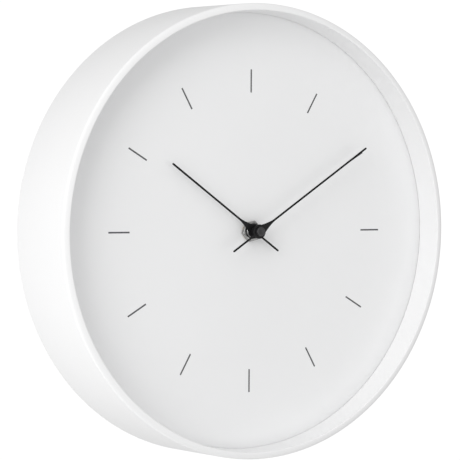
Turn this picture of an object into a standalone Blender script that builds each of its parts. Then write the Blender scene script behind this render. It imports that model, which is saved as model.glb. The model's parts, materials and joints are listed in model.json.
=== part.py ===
"""Round wall clock: deep drum case, recessed dial, needle hands with winged hubs, quartz movement.

The dial faces -Y and the wall lies in the plane Y = 0, with +Z up. The origin is the point where the
clock hangs: the centre of the nail's shank in the keyhole, on the wall plane. Everything hangs from
one empty on the dial's axis, so all other positions are given from that axis: X to the right, Z up,
and Y counted from the wall. Lengths are in metres.
"""

import math

import bmesh
import bpy

# Overall size
CASE_RADIUS = 0.1375
CASE_DEPTH = 0.054
HANG_DROP = 0.105  # the dial's axis lies this far below the hanging point

# Case shell: a drum that narrows a little towards the front, where the lip is crowned towards its outside
FRONT_WALL_RADIUS = 0.1353
WELL_RADIUS = 0.1310
LIP_INNER_ROUND = 0.0005
LIP_CROWN_WIDTH = FRONT_WALL_RADIUS - WELL_RADIUS - LIP_INNER_ROUND
LIP_CROWN_DEPTH = 0.0018
LEDGE_OUTER_RADIUS = 0.1337
REAR_INNER_RADIUS = 0.1347
CASE_SEGMENTS = 96

# Gaps that keep neighbouring solids apart, the play at the end of an arbor, and how far a cutter overruns
REST_GAP = 0.0003
CLOSE_GAP = 0.0001
END_PLAY = 0.0002
OVERRUN = 0.001

# Points closer than this are one point, where a turned profile meets its axis
MERGE_DISTANCE = 0.0000001

# Dial and what clamps it
DIAL_RECESS = 0.0179
DIAL_RADIUS = 0.1333
DIAL_THICKNESS = 0.0010
DIAL_Y = DIAL_RECESS - CASE_DEPTH
DIAL_BACK_Y = DIAL_Y + DIAL_THICKNESS
RING_INNER_RADIUS = 0.1265
RING_OUTER_RADIUS = 0.1330
RING_THICKNESS = 0.0024

# Screw bosses on the inside of the drum, and the rear cover that they hold
BOSS_ANGLES = [math.radians(45 + 90 * k) for k in range(4)]
BOSS_RADIAL = 0.1295
BOSS_RADIUS = 0.0048
BOSS_FRONT_Y = -0.0300
PILOT_RADIUS = 0.0016
PILOT_DEPTH = 0.0120
COVER_RADIUS = 0.1342
COVER_FRONT_Y = -0.0040
COVER_BACK_Y = -0.0020
COVER_SCREW_HOLE = 0.0018
WINDOW_HALF = 0.0330
WINDOW_CORNER = 0.0040
WELL_WALL = 0.0016
WELL_FRONT_Y = -0.0170
KEYHOLE_SLOT_HALF = 0.0024
KEYHOLE_HEAD_RADIUS = 0.0052
KEYHOLE_LENGTH = 0.0120
SCREW_SHANK_RADIUS = 0.00145
SCREW_SHANK_LENGTH = 0.0110
SCREW_POINT_RADIUS = 0.0006
SCREW_POINT_LENGTH = 0.0022
SCREW_HEAD_RADIUS = 0.0030
SCREW_HEAD_HEIGHT = 0.0015
SCREW_HEAD_EDGE = 0.00075
SCREW_RECESS_ARM = 0.00165
SCREW_RECESS_HALF = 0.00036
SCREW_RECESS_DEPTH = 0.0009

# Movement housing, centred on the axis
HOUSING_HALF = 0.0280
HOUSING_WALL = 0.0014
HOUSING_FRONT_Y = -0.0341
HOUSING_FLOOR_Y = HOUSING_FRONT_Y + HOUSING_WALL
HOUSING_BACK_Y = -0.0200
PLATE_BACK_Y = -0.0186
PLATE_FRONT_Y = HOUSING_BACK_Y + REST_GAP
DIVIDER_TOP = -0.0105
DIVIDER_WALL = 0.0013
BAY_TOP = DIVIDER_TOP - DIVIDER_WALL

# Threaded bush: a metal tube with a narrower shank that sits in the housing's front wall
THREAD_RADIUS = 0.0040
THREAD_FRONT_Y = -0.0395
THREAD_BORE = 0.00265
BUSH_SHANK_RADIUS = 0.0034

# Dial fixing on the threaded bush
WASHER_HOLE = 0.0043
RUBBER_RADIUS = 0.0090
BRASS_RADIUS = 0.0056
BRASS_THICKNESS = 0.0004
NUT_ACROSS_FLATS = 0.0116
NUT_THICKNESS = 0.0023
NUT_TURN = math.radians(11)
NUT_CHAMFER = 0.0006

# Wheels: each level is a slice of the movement's depth, counted from the wall
HOUR_LEVEL = (-0.0324, -0.0315)
MOTION_LEVEL = (-0.0310, -0.0302)
CENTRE_LEVEL = (-0.0296, -0.0288)
THIRD_LEVEL = (-0.0282, -0.0274)
BRIDGE_LEVEL = (-0.0269, -0.0259)
FOURTH_LEVEL = (-0.0254, -0.0246)
FIFTH_LEVEL = (-0.0220, -0.0212)
MAGNET_LEVEL = (-0.0254, -0.0230)
STATOR_LEVEL = (-0.0244, -0.0236)

HOUR_TEETH = 40
MOTION_TEETH = 36
MOTION_PINION_TEETH = 10
CANNON_TEETH = 12
SETTING_TEETH = 12
CENTRE_TEETH = 60
THIRD_TEETH = 64
FOURTH_TEETH = 40
FIFTH_TEETH = 48
PINION_TEETH = 8

MOTION_MODULE = 0.00030
THIRD_MODULE = 0.00025
FOURTH_MODULE = 0.00030
FIFTH_MODULE = 0.00025
MOTION_DISTANCE = MOTION_MODULE * (CANNON_TEETH + MOTION_TEETH) / 2
HOUR_MODULE = 2 * MOTION_DISTANCE / (HOUR_TEETH + MOTION_PINION_TEETH)
THIRD_DISTANCE = THIRD_MODULE * (THIRD_TEETH + PINION_TEETH) / 2
CENTRE_MODULE = 2 * THIRD_DISTANCE / (CENTRE_TEETH + PINION_TEETH)
FIFTH_DISTANCE = FOURTH_MODULE * (FOURTH_TEETH + PINION_TEETH) / 2
ROTOR_DISTANCE = FIFTH_MODULE * (FIFTH_TEETH + PINION_TEETH) / 2

MOTION_ANGLE = 0.0
SETTING_ANGLE = math.radians(-20)
THIRD_ANGLE = math.radians(150)
FIFTH_ANGLE = math.radians(60)
ROTOR_ANGLE = math.radians(20)

# Tooth form, in modules and in shares of the pitch: slim straight-flanked teeth with room to run
ADDENDUM = 0.85
DEDENDUM = 1.10
TOOTH_SHARE = 0.44
TIP_SHARE = 0.45
ROOT_SHARE = 1.30

ARBOR_RADIUS = 0.00045
PIVOT_HOLE = 0.00055
PIVOT_DEPTH = 0.0008
ARBOR_BACK_Y = -0.0189
POST_RADIUS = 0.0006
POST_BORE = 0.0007
SETTING_SHAFT = 0.0012
SETTING_HOLE = 0.00135
KNOB_RADIUS = 0.0050
KNOB_THICKNESS = 0.0027
KNOB_FLUTES = 18
KNOB_FLUTE_DEPTH = 0.00035
MAGNET_RADIUS = 0.0030

PIPE_RADIUS = 0.0014
PIPE_BACK_Y = -0.0286
PIPE_BORE = 0.0006
PIPE_BORE_DEPTH = 0.0015
HOUR_TUBE_RADIUS = 0.0025
HOUR_TUBE_BORE = 0.0015

BRIDGE_POSTS = [(-0.0140, -0.0080), (0.0100, -0.0085), (0.0140, 0.0140), (-0.0120, 0.0140)]
BRIDGE_POST_RADIUS = 0.0012
BRIDGE_PIN_RADIUS = 0.0006
BRIDGE_PIN_HOLE = 0.0008
BRIDGE_LEFT = -0.0160
BRIDGE_RIGHT = 0.0180
BRIDGE_BOTTOM = -0.0100
BRIDGE_TOP = 0.0158
BRIDGE_CORNER = 0.0020

# Coil, stator and circuit
COIL_LEFT = 0.0010
COIL_RIGHT = 0.0210
COIL_Z = 0.0206
COIL_FLANGE_HALF = 0.0042
COIL_FLANGE = 0.0008
COIL_TUBE_HALF = 0.0016
WINDING_RADIUS = 0.0037
CORE_HALF_THICKNESS = 0.0004
CORE_HALF_HEIGHT = 0.0013
CORE_OVERHANG = 0.0030
STATOR_RING_RADIUS = 0.0055
STATOR_HOLE_RADIUS = 0.0035
STATOR_ARM = 0.0040
STATOR_LEG = 0.0028
BOARD_LEFT = -0.0256
BOARD_RIGHT = -0.0172
BOARD_BOTTOM = -0.0095
BOARD_TOP = 0.0245
BOARD_LEVEL = (-0.0244, -0.0236)
BOARD_POSTS = [(-0.0214, -0.0060), (-0.0214, 0.0215)]
CHIP_RADIUS = 0.0026
CHIP_SHOULDER_RADIUS = 0.0021
CHIP_HEIGHT = 0.0011
CHIP_SHOULDER_HEIGHT = 0.0008
CHIP_Z = 0.0040
CRYSTAL_RADIUS = 0.0010
CRYSTAL_LENGTH = 0.0060
CRYSTAL_Z = 0.0110

# Battery
BATTERY_RADIUS = 0.0071
BATTERY_LENGTH = 0.0495
BATTERY_NUB_RADIUS = 0.0027
BATTERY_NUB_LENGTH = 0.0010
BATTERY_EDGE = 0.0006
BATTERY_CENTRE_X = -0.0002
CONTACT_THICKNESS = 0.0003
CONTACT_BOW = 0.0008
CONTACT_HALF_DEPTH = 0.0045
CONTACT_HALF_HEIGHT = 0.0050

# Hands. Angles are clockwise from twelve, and the hour hand's follows from the minute hand's
HAND_THICKNESS = 0.0005
HOUR_HAND_RISE = 0.0050
MINUTE_HAND_RISE = 0.0102
HOUR_HAND_Y = DIAL_Y - HOUR_HAND_RISE
MINUTE_HAND_Y = DIAL_Y - MINUTE_HAND_RISE
HOUR_TUBE_STANDOUT = 0.0006
PIPE_STANDOUT = 0.0008
HOUR_TUBE_FRONT_Y = HOUR_HAND_Y - HOUR_TUBE_STANDOUT
PIPE_FRONT_Y = MINUTE_HAND_Y - PIPE_STANDOUT
HOUR_HAND_LENGTH = 0.0702
HOUR_TAIL_LENGTH = 0.0211
MINUTE_HAND_LENGTH = 0.0946
MINUTE_TAIL_LENGTH = 0.0219
NEEDLE_HALF = 0.00056
HUB_RADIUS = 0.0043
WING_START = 0.0130
WING_ANGLE = math.radians(38)
WING_POWER = 1.6
COLLAR_LENGTH = 0.0009
HOUR_COLLAR_RADIUS = 0.0036
MINUTE_COLLAR_RADIUS = 0.0027
CAP_RADIUS = 0.0028
CAP_EDGE = 0.0005
CAP_DOME = 0.0001
CAP_FRONT_Y = MINUTE_HAND_Y - 0.0021
SHOWN_HOUR = 10
MINUTE_HAND_TURN = math.radians(57.25)
HOUR_HAND_TURN = SHOWN_HOUR * math.tau / 12 + MINUTE_HAND_TURN / 12


# ---------------------------------------------------------------- outlines in the XZ plane


def circle(radius, segments=32, centre=(0.0, 0.0)):
    """Points of a circle, anticlockwise as seen from the front."""
    step = math.tau / segments
    return [
        (centre[0] + radius * math.cos(k * step), centre[1] + radius * math.sin(k * step))
        for k in range(segments)
    ]


def arc(centre, radius, start, end, steps):
    """Points along an arc, both ends included."""
    turn = (end - start) / steps
    return [
        (centre[0] + radius * math.cos(start + k * turn), centre[1] + radius * math.sin(start + k * turn))
        for k in range(steps + 1)
    ]


def rectangle(left, right, bottom, top):
    return [(left, bottom), (right, bottom), (right, top), (left, top)]


def rounded_rectangle(left, right, bottom, top, corner, steps=4):
    """A rectangle whose corners are quarter circles."""
    quarter = math.pi / 2
    centres = [
        (right - corner, bottom + corner, -quarter),
        (right - corner, top - corner, 0.0),
        (left + corner, top - corner, quarter),
        (left + corner, bottom + corner, 2 * quarter),
    ]
    points = []
    for x, z, start in centres:
        points += arc((x, z), corner, start, start + quarter, steps)
    return points


def keyhole(length):
    """A slot with a round top at the origin that opens into a round hole below."""
    half = KEYHOLE_SLOT_HALF
    meet = math.asin(half / KEYHOLE_HEAD_RADIUS)
    start = math.pi / 2 + meet
    end = start + math.tau - 2 * meet
    return arc((0.0, 0.0), half, 0.0, math.pi, 8) + arc((0.0, -length), KEYHOLE_HEAD_RADIUS, start, end, 20)


def gear_outline(teeth, module, phase):
    """Straight-flanked teeth. The first tooth's centre lies at the angle phase."""
    pitch = math.tau / teeth
    half = TOOTH_SHARE * pitch / 2
    tip_radius = module * (teeth / 2 + ADDENDUM)
    root_radius = module * (teeth / 2 - DEDENDUM)
    corners = [
        (-half * ROOT_SHARE, root_radius),
        (-half * TIP_SHARE, tip_radius),
        (half * TIP_SHARE, tip_radius),
        (half * ROOT_SHARE, root_radius),
    ]
    return [
        (radius * math.cos(phase + k * pitch + turn), radius * math.sin(phase + k * pitch + turn))
        for k in range(teeth)
        for turn, radius in corners
    ]


def meshing_phase(direction, phase, teeth, other_teeth):
    """Phase of a gear that lies in this direction from a gear of the given phase and meshes with it."""
    share = ((direction - phase) / (math.tau / teeth)) % 1.0
    return direction + math.pi - (0.5 - share) * math.tau / other_teeth


def cross(arm, half):
    """A plus sign: three points for each of its four arms."""
    points = []
    corner = [(half, half), (half, arm), (-half, arm)]
    for _ in range(4):
        points += corner
        corner = [(-z, x) for x, z in corner]
    return points


def knob_outline():
    """A circle with shallow flutes for the fingertips: two points on each ridge, two in each flute."""
    step = math.tau / KNOB_FLUTES / 4
    flute_radius = KNOB_RADIUS - KNOB_FLUTE_DEPTH
    radii = [KNOB_RADIUS, KNOB_RADIUS, flute_radius, flute_radius] * KNOB_FLUTES
    return [(radius * math.cos(k * step), radius * math.sin(k * step)) for k, radius in enumerate(radii)]


def hand_outline(length, tail_length):
    """A needle along +Z that flares into a round hub, with a plain needle tail."""
    quarter = math.pi / 2
    wing_z = HUB_RADIUS * math.cos(WING_ANGLE)
    wing_x = HUB_RADIUS * math.sin(WING_ANGLE)
    wing_steps = 8
    right = arc((0.0, length - NEEDLE_HALF), NEEDLE_HALF, quarter, 0.0, 3)
    for k in range(wing_steps + 1):
        share = k / wing_steps
        width = NEEDLE_HALF + (wing_x - NEEDLE_HALF) * share**WING_POWER
        right.append((width, WING_START + (wing_z - WING_START) * share))
    tail_angle = math.asin(NEEDLE_HALF / HUB_RADIUS)
    right += arc((0.0, 0.0), HUB_RADIUS, quarter - WING_ANGLE, tail_angle - quarter, 12)[1:]
    right += arc((0.0, NEEDLE_HALF - tail_length), NEEDLE_HALF, 0.0, -quarter, 3)
    left = [(-x, z) for x, z in reversed(right[1:-1])]
    return right + left


# ---------------------------------------------------------------- solids


def new_object(name, bm, material, parent, centre=(0.0, 0.0)):
    """The bmesh as an object whose origin lies on the line through centre, parallel to the axis."""
    bmesh.ops.recalc_face_normals(bm, faces=bm.faces)
    mesh = bpy.data.meshes.new(name)
    bm.to_mesh(mesh)
    bm.free()
    mesh.shade_smooth()
    mesh.set_sharp_from_angle(angle=math.radians(32))
    obj = bpy.data.objects.new(name, mesh)
    obj.parent = parent
    obj.location = (centre[0], 0.0, centre[1])
    if material:
        mesh.materials.append(material)
    bpy.context.scene.collection.objects.link(obj)
    return obj


def prism(name, outline, levels, material=None, parent=None, centre=(0.0, 0.0)):
    """A closed outline pushed through the depth from levels[0] to levels[1]."""
    bm = bmesh.new()
    face = bm.faces.new([bm.verts.new((x, levels[0], z)) for x, z in outline])
    extruded = bmesh.ops.extrude_face_region(bm, geom=[face])
    moved = [item for item in extruded["geom"] if isinstance(item, bmesh.types.BMVert)]
    bmesh.ops.translate(bm, verts=moved, vec=(0.0, levels[1] - levels[0], 0.0))
    return new_object(name, bm, material, parent, centre)


def cylinder(name, radius, levels, parent, centre=(0.0, 0.0), segments=24):
    return prism(name, circle(radius, segments), levels, None, parent, centre)


def turned(name, profile, material, parent, centre=(0.0, 0.0), segments=32):
    """A profile of (radius, y) points turned about the axis through the object's origin.

    A profile that starts and ends on the axis is left open there. Any other is closed into a loop.
    """
    bm = bmesh.new()
    points = [bm.verts.new((radius, y, 0.0)) for radius, y in profile]
    on_axis = profile[0][0] == 0.0
    followers = points[1:] if on_axis else points[1:] + points[:1]
    edges = [bm.edges.new((a, b)) for a, b in zip(points, followers)]
    bmesh.ops.spin(
        bm,
        geom=points + edges,
        cent=(0.0, 0.0, 0.0),
        axis=(0.0, 1.0, 0.0),
        angle=math.tau,
        steps=segments,
        use_merge=True,
    )
    if on_axis:
        bmesh.ops.remove_doubles(bm, verts=bm.verts, dist=MERGE_DISTANCE)
    return new_object(name, bm, material, parent, centre)


def ring(name, inner, outer, levels, material, parent, centre=(0.0, 0.0), segments=32):
    profile = [(inner, levels[0]), (outer, levels[0]), (outer, levels[1]), (inner, levels[1])]
    return turned(name, profile, material, parent, centre, segments)


def combine(target, helper, operation):
    """Joins the helper to the target, or cuts it away, and keeps the helper out of sight."""
    modifier = target.modifiers.new(f"{operation.lower()} {helper.name}", "BOOLEAN")
    modifier.solver = "EXACT"
    modifier.operation = operation
    modifier.object = helper
    helper.hide_render = True
    helper.display_type = "WIRE"


def add(target, helper):
    combine(target, helper, "UNION")


def cut(target, helper):
    combine(target, helper, "DIFFERENCE")


# ---------------------------------------------------------------- materials


def new_material(name, color, roughness, metallic=0.0):
    material = bpy.data.materials.new(name)
    material.use_nodes = True
    shader = material.node_tree.nodes["Principled BSDF"]
    shader.inputs["Base Color"].default_value = (*color, 1.0)
    shader.inputs["Roughness"].default_value = roughness
    shader.inputs["Metallic"].default_value = metallic
    material.diffuse_color = (*color, 1.0)
    return material


MATERIALS = {
    "case_white": ((0.88, 0.88, 0.88), 0.50),
    "dial_white": ((0.84, 0.85, 0.86), 0.65),
    "back_white": ((0.78, 0.78, 0.77), 0.60),
    "hand_black": ((0.025, 0.025, 0.027), 0.42),
    "cap_black": ((0.060, 0.060, 0.063), 0.35),
    "movement_black": ((0.020, 0.020, 0.021), 0.50),
    "gear_white": ((0.80, 0.80, 0.76), 0.45),
    "gear_ivory": ((0.72, 0.66, 0.48), 0.45),
    "gear_grey": ((0.30, 0.31, 0.33), 0.45),
    "rubber_black": ((0.015, 0.015, 0.015), 0.85),
    "brass": ((0.78, 0.60, 0.28), 0.30, 1.0),
    "nickel": ((0.66, 0.66, 0.65), 0.28, 1.0),
    "screw_zinc": ((0.60, 0.61, 0.62), 0.35, 1.0),
    "stator_steel": ((0.42, 0.43, 0.45), 0.40, 1.0),
    "magnet_grey": ((0.10, 0.10, 0.11), 0.45, 0.6),
    "copper": ((0.72, 0.32, 0.16), 0.35, 1.0),
    "board_green": ((0.05, 0.19, 0.09), 0.55),
    "chip_black": ((0.015, 0.015, 0.016), 0.40),
    "battery_wrap": ((0.10, 0.22, 0.36), 0.35),
}


def make_materials():
    return {name: new_material(name, *look) for name, look in MATERIALS.items()}


# ---------------------------------------------------------------- case


def case_profile():
    """The drum's wall from the rear rim round the crowned lip to the ledge that the dial rests behind."""
    quarter = math.pi / 2
    crest_radius = WELL_RADIUS + LIP_INNER_ROUND
    crown_y = LIP_CROWN_DEPTH - CASE_DEPTH
    crown = [
        (crest_radius + LIP_CROWN_WIDTH * across, crown_y + LIP_CROWN_DEPTH * along)
        for across, along in arc((0.0, 0.0), 1.0, 0.0, -quarter, 8)
    ]
    inner_centre = (crest_radius, LIP_INNER_ROUND - CASE_DEPTH)
    inner_round = arc(inner_centre, LIP_INNER_ROUND, -quarter, -2 * quarter, 3)[1:]
    ledge_y = DIAL_Y - REST_GAP
    ledge = [(WELL_RADIUS, ledge_y), (LEDGE_OUTER_RADIUS, ledge_y)]
    return [(CASE_RADIUS, 0.0)] + crown + inner_round + ledge + [(REAR_INNER_RADIUS, 0.0)]


def boss_centre(angle):
    return (BOSS_RADIAL * math.cos(angle), BOSS_RADIAL * math.sin(angle))


def build_case_shell(axis, materials):
    shell = turned("case_shell", case_profile(), materials["case_white"], axis, segments=CASE_SEGMENTS)
    boss_back_y = COVER_FRONT_Y - REST_GAP
    for k, angle in enumerate(BOSS_ANGLES, 1):
        centre = boss_centre(angle)
        add(shell, cylinder(f"boss_{k}", BOSS_RADIUS, (BOSS_FRONT_Y, boss_back_y), axis, centre))
        pilot_levels = (boss_back_y - PILOT_DEPTH, boss_back_y + REST_GAP)
        cut(shell, cylinder(f"pilot_{k}", PILOT_RADIUS, pilot_levels, axis, centre, 16))


def build_dial(axis, materials):
    dial_levels = (DIAL_Y, DIAL_BACK_Y)
    ring("dial_plate", WASHER_HOLE, DIAL_RADIUS, dial_levels, materials["dial_white"], axis, segments=96)
    ring_front_y = DIAL_BACK_Y + REST_GAP
    ring(
        "dial_retaining_ring",
        RING_INNER_RADIUS,
        RING_OUTER_RADIUS,
        (ring_front_y, ring_front_y + RING_THICKNESS),
        materials["back_white"],
        axis,
        segments=64,
    )


def build_rear_cover(axis, materials):
    """A disc with a walled window onto the movement and a keyhole for the nail."""
    levels = (COVER_FRONT_Y, COVER_BACK_Y)
    cover = prism("rear_cover", circle(COVER_RADIUS, CASE_SEGMENTS), levels, materials["back_white"], axis)
    wall_half = WINDOW_HALF + WELL_WALL
    wall_outline = rounded_rectangle(-wall_half, wall_half, -wall_half, wall_half, WINDOW_CORNER + WELL_WALL)
    wall_levels = (WELL_FRONT_Y, (COVER_FRONT_Y + COVER_BACK_Y) / 2)
    add(cover, prism("window_wall", wall_outline, wall_levels, parent=axis))
    window = rounded_rectangle(-WINDOW_HALF, WINDOW_HALF, -WINDOW_HALF, WINDOW_HALF, WINDOW_CORNER)
    past_both_faces = (WELL_FRONT_Y - OVERRUN, COVER_BACK_Y + OVERRUN)
    cut(cover, prism("window", window, past_both_faces, parent=axis))
    hanger = prism("keyhole", keyhole(KEYHOLE_LENGTH), past_both_faces, parent=axis, centre=(0.0, HANG_DROP))
    cut(cover, hanger)
    for k, angle in enumerate(BOSS_ANGLES, 1):
        hole = cylinder(f"cover_hole_{k}", COVER_SCREW_HOLE, past_both_faces, axis, boss_centre(angle), 16)
        cut(cover, hole)


def build_cover_screw(number, angle, axis, materials):
    """A pan-head screw with a cross recess."""
    centre = boss_centre(angle)
    seat_y = COVER_BACK_Y + CLOSE_GAP
    top_y = seat_y + SCREW_HEAD_HEIGHT
    tip_y = seat_y - SCREW_SHANK_LENGTH
    profile = [
        (0.0, tip_y),
        (SCREW_POINT_RADIUS, tip_y),
        (SCREW_SHANK_RADIUS, tip_y + SCREW_POINT_LENGTH),
        (SCREW_SHANK_RADIUS, seat_y),
        (SCREW_HEAD_RADIUS, seat_y),
        (SCREW_HEAD_RADIUS, top_y - SCREW_HEAD_EDGE),
        (SCREW_HEAD_RADIUS - SCREW_HEAD_EDGE, top_y),
        (0.0, top_y),
    ]
    screw = turned(f"cover_screw_{number}", profile, materials["screw_zinc"], axis, centre, 16)
    recess = cross(SCREW_RECESS_ARM, SCREW_RECESS_HALF)
    recess_levels = (top_y - SCREW_RECESS_DEPTH, top_y + OVERRUN)
    cut(screw, prism(f"recess_{number}", recess, recess_levels, parent=axis, centre=centre))


# ---------------------------------------------------------------- movement


def polar(centre, distance, angle):
    return (centre[0] + distance * math.cos(angle), centre[1] + distance * math.sin(angle))


AXIS_CENTRE = (0.0, 0.0)
MOTION_CENTRE = polar(AXIS_CENTRE, MOTION_DISTANCE, MOTION_ANGLE)
SETTING_CENTRE = polar(MOTION_CENTRE, MOTION_DISTANCE, SETTING_ANGLE)
THIRD_CENTRE = polar(AXIS_CENTRE, THIRD_DISTANCE, THIRD_ANGLE)
FIFTH_CENTRE = polar(AXIS_CENTRE, FIFTH_DISTANCE, FIFTH_ANGLE)
ROTOR_CENTRE = polar(FIFTH_CENTRE, ROTOR_DISTANCE, ROTOR_ANGLE)


def build_housing(axis, materials):
    """An open-backed box with a gear room, a battery bay and a hole for the bush that holds the dial."""
    inner = HOUSING_HALF - HOUSING_WALL
    outline = rounded_rectangle(-HOUSING_HALF, HOUSING_HALF, -HOUSING_HALF, HOUSING_HALF, HOUSING_WALL, 3)
    levels = (HOUSING_FRONT_Y, HOUSING_BACK_Y)
    housing = prism("movement_housing", outline, levels, materials["movement_black"], axis)
    pocket_levels = (HOUSING_FLOOR_Y, HOUSING_BACK_Y + OVERRUN)
    cut(housing, prism("gear_room", rectangle(-inner, inner, DIVIDER_TOP, inner), pocket_levels, parent=axis))
    cut(housing, prism("battery_bay", rectangle(-inner, inner, -inner, BAY_TOP), pocket_levels, parent=axis))

    post_start_y = HOUSING_FLOOR_Y - HOUSING_WALL / 2
    posts = [("motion_post", MOTION_CENTRE, POST_RADIUS, CENTRE_LEVEL[0] - REST_GAP)]
    for k, centre in enumerate(BRIDGE_POSTS, 1):
        posts.append((f"bridge_post_{k}", centre, BRIDGE_POST_RADIUS, BRIDGE_LEVEL[0] - REST_GAP))
        posts.append((f"bridge_pin_{k}", centre, BRIDGE_PIN_RADIUS, BRIDGE_LEVEL[1]))
    for k, centre in enumerate(BOARD_POSTS, 1):
        posts.append((f"board_post_{k}", centre, BRIDGE_POST_RADIUS, BOARD_LEVEL[0] - REST_GAP))
    for name, centre, radius, back_y in posts:
        add(housing, cylinder(name, radius, (post_start_y, back_y), axis, centre, 12))

    past_both_faces = (HOUSING_FRONT_Y - OVERRUN, HOUSING_FLOOR_Y + OVERRUN)
    cut(housing, cylinder("bush_hole", BUSH_SHANK_RADIUS + CLOSE_GAP, past_both_faces, axis, segments=48))
    pivot_levels = (HOUSING_FLOOR_Y - PIVOT_DEPTH, HOUSING_FLOOR_Y + REST_GAP)
    cut(housing, cylinder("third_pivot", PIVOT_HOLE, pivot_levels, axis, THIRD_CENTRE, 12))
    cut(housing, cylinder("setting_pivot", SETTING_HOLE, pivot_levels, axis, SETTING_CENTRE, 16))


def build_bush(axis, materials):
    """The threaded metal tube whose shoulder rests on the housing and whose shank sits in its wall."""
    shoulder_y = HOUSING_FRONT_Y - CLOSE_GAP
    profile = [
        (THREAD_BORE, THREAD_FRONT_Y),
        (THREAD_RADIUS, THREAD_FRONT_Y),
        (THREAD_RADIUS, shoulder_y),
        (BUSH_SHANK_RADIUS, shoulder_y),
        (BUSH_SHANK_RADIUS, HOUSING_FLOOR_Y),
        (THREAD_BORE, HOUSING_FLOOR_Y),
    ]
    turned("threaded_bush", profile, materials["nickel"], axis, segments=48)


def build_movement_plate(axis, materials):
    """The rear plate of the gear room, with the rear bearings and the hole for the setting shaft."""
    outline = rounded_rectangle(-HOUSING_HALF, HOUSING_HALF, BAY_TOP, HOUSING_HALF, HOUSING_WALL, 3)
    levels = (PLATE_FRONT_Y, PLATE_BACK_Y)
    plate = prism("movement_rear_plate", outline, levels, materials["movement_black"], axis)
    past_both_faces = (PLATE_FRONT_Y - OVERRUN, PLATE_BACK_Y + OVERRUN)
    centres = {"fourth_bearing": AXIS_CENTRE, "fifth_bearing": FIFTH_CENTRE, "rotor_bearing": ROTOR_CENTRE}
    for name, centre in centres.items():
        cut(plate, cylinder(name, PIVOT_HOLE, past_both_faces, axis, centre, 12))
    cut(plate, cylinder("setting_bearing", SETTING_HOLE, past_both_faces, axis, SETTING_CENTRE, 16))


def build_wheel_bridge(axis, materials):
    """The middle plate that carries the front pivots of the fifth wheel and the rotor."""
    outline = rounded_rectangle(BRIDGE_LEFT, BRIDGE_RIGHT, BRIDGE_BOTTOM, BRIDGE_TOP, BRIDGE_CORNER, 3)
    bridge = prism("wheel_bridge", outline, BRIDGE_LEVEL, materials["gear_white"], axis)
    past_both_faces = (BRIDGE_LEVEL[0] - OVERRUN, BRIDGE_LEVEL[1] + OVERRUN)
    holes = [(f"pin_hole_{k}", centre, BRIDGE_PIN_HOLE) for k, centre in enumerate(BRIDGE_POSTS, 1)]
    holes += [
        ("fourth_passage", AXIS_CENTRE, POST_BORE),
        ("third_passage", THIRD_CENTRE, PIVOT_HOLE),
        ("fifth_passage", FIFTH_CENTRE, PIVOT_HOLE),
        ("rotor_passage", ROTOR_CENTRE, PIVOT_HOLE),
        ("setting_passage", SETTING_CENTRE, SETTING_HOLE),
    ]
    for name, centre, radius in holes:
        cut(bridge, cylinder(name, radius, past_both_faces, axis, centre, 12))


def build_dial_fixing(axis, materials):
    """Rubber washer behind the dial, brass washer and hexagon nut in front of it."""
    rubber_levels = (DIAL_BACK_Y + CLOSE_GAP, HOUSING_FRONT_Y - CLOSE_GAP)
    rubber = materials["rubber_black"]
    ring("rubber_washer", WASHER_HOLE, RUBBER_RADIUS, rubber_levels, rubber, axis, segments=48)
    brass_back_y = DIAL_Y - CLOSE_GAP
    brass_front_y = brass_back_y - BRASS_THICKNESS
    brass_levels = (brass_front_y, brass_back_y)
    ring("brass_washer", WASHER_HOLE, BRASS_RADIUS, brass_levels, materials["brass"], axis, segments=48)

    nut_back_y = brass_front_y - CLOSE_GAP
    nut_front_y = nut_back_y - NUT_THICKNESS
    corner_radius = NUT_ACROSS_FLATS / 2 / math.cos(math.pi / 6)
    hexagon = [polar(AXIS_CENTRE, corner_radius, NUT_TURN + k * math.pi / 3) for k in range(6)]
    nut = prism("hex_nut", hexagon, (nut_front_y, nut_back_y), materials["nickel"], axis)
    chamfer = [
        (0.0, nut_back_y + OVERRUN),
        (corner_radius + NUT_CHAMFER, nut_back_y + OVERRUN),
        (corner_radius + NUT_CHAMFER, nut_front_y + 2 * NUT_CHAMFER),
        (corner_radius - 2 * NUT_CHAMFER, nut_front_y - CLOSE_GAP),
        (0.0, nut_front_y - CLOSE_GAP),
    ]
    combine(nut, turned("nut_chamfer", chamfer, None, axis), "INTERSECT")
    bore_levels = (nut_front_y - OVERRUN, nut_back_y + OVERRUN)
    cut(nut, cylinder("nut_bore", THREAD_RADIUS + CLOSE_GAP, bore_levels, axis, segments=48))


def wheel(name, material, axis, centre, stages, arbor=None):
    """Toothed stages (teeth, module, phase, levels) on one centre, with an optional arbor through them."""
    body = None
    for k, (teeth, module, phase, levels) in enumerate(stages):
        outline = gear_outline(teeth, module, phase)
        if body is None:
            body = prism(name, outline, levels, material, axis, centre)
        else:
            add(body, prism(f"{name}_stage_{k}", outline, levels, None, axis, centre))
    if arbor:
        radius, levels = arbor
        add(body, cylinder(f"{name}_arbor", radius, levels, axis, centre, 12))
    return body


def reach(levels, other):
    """The slice from the start of one level to the middle of another, so that two stages join."""
    return (levels[0], (other[0] + other[1]) / 2)


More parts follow.
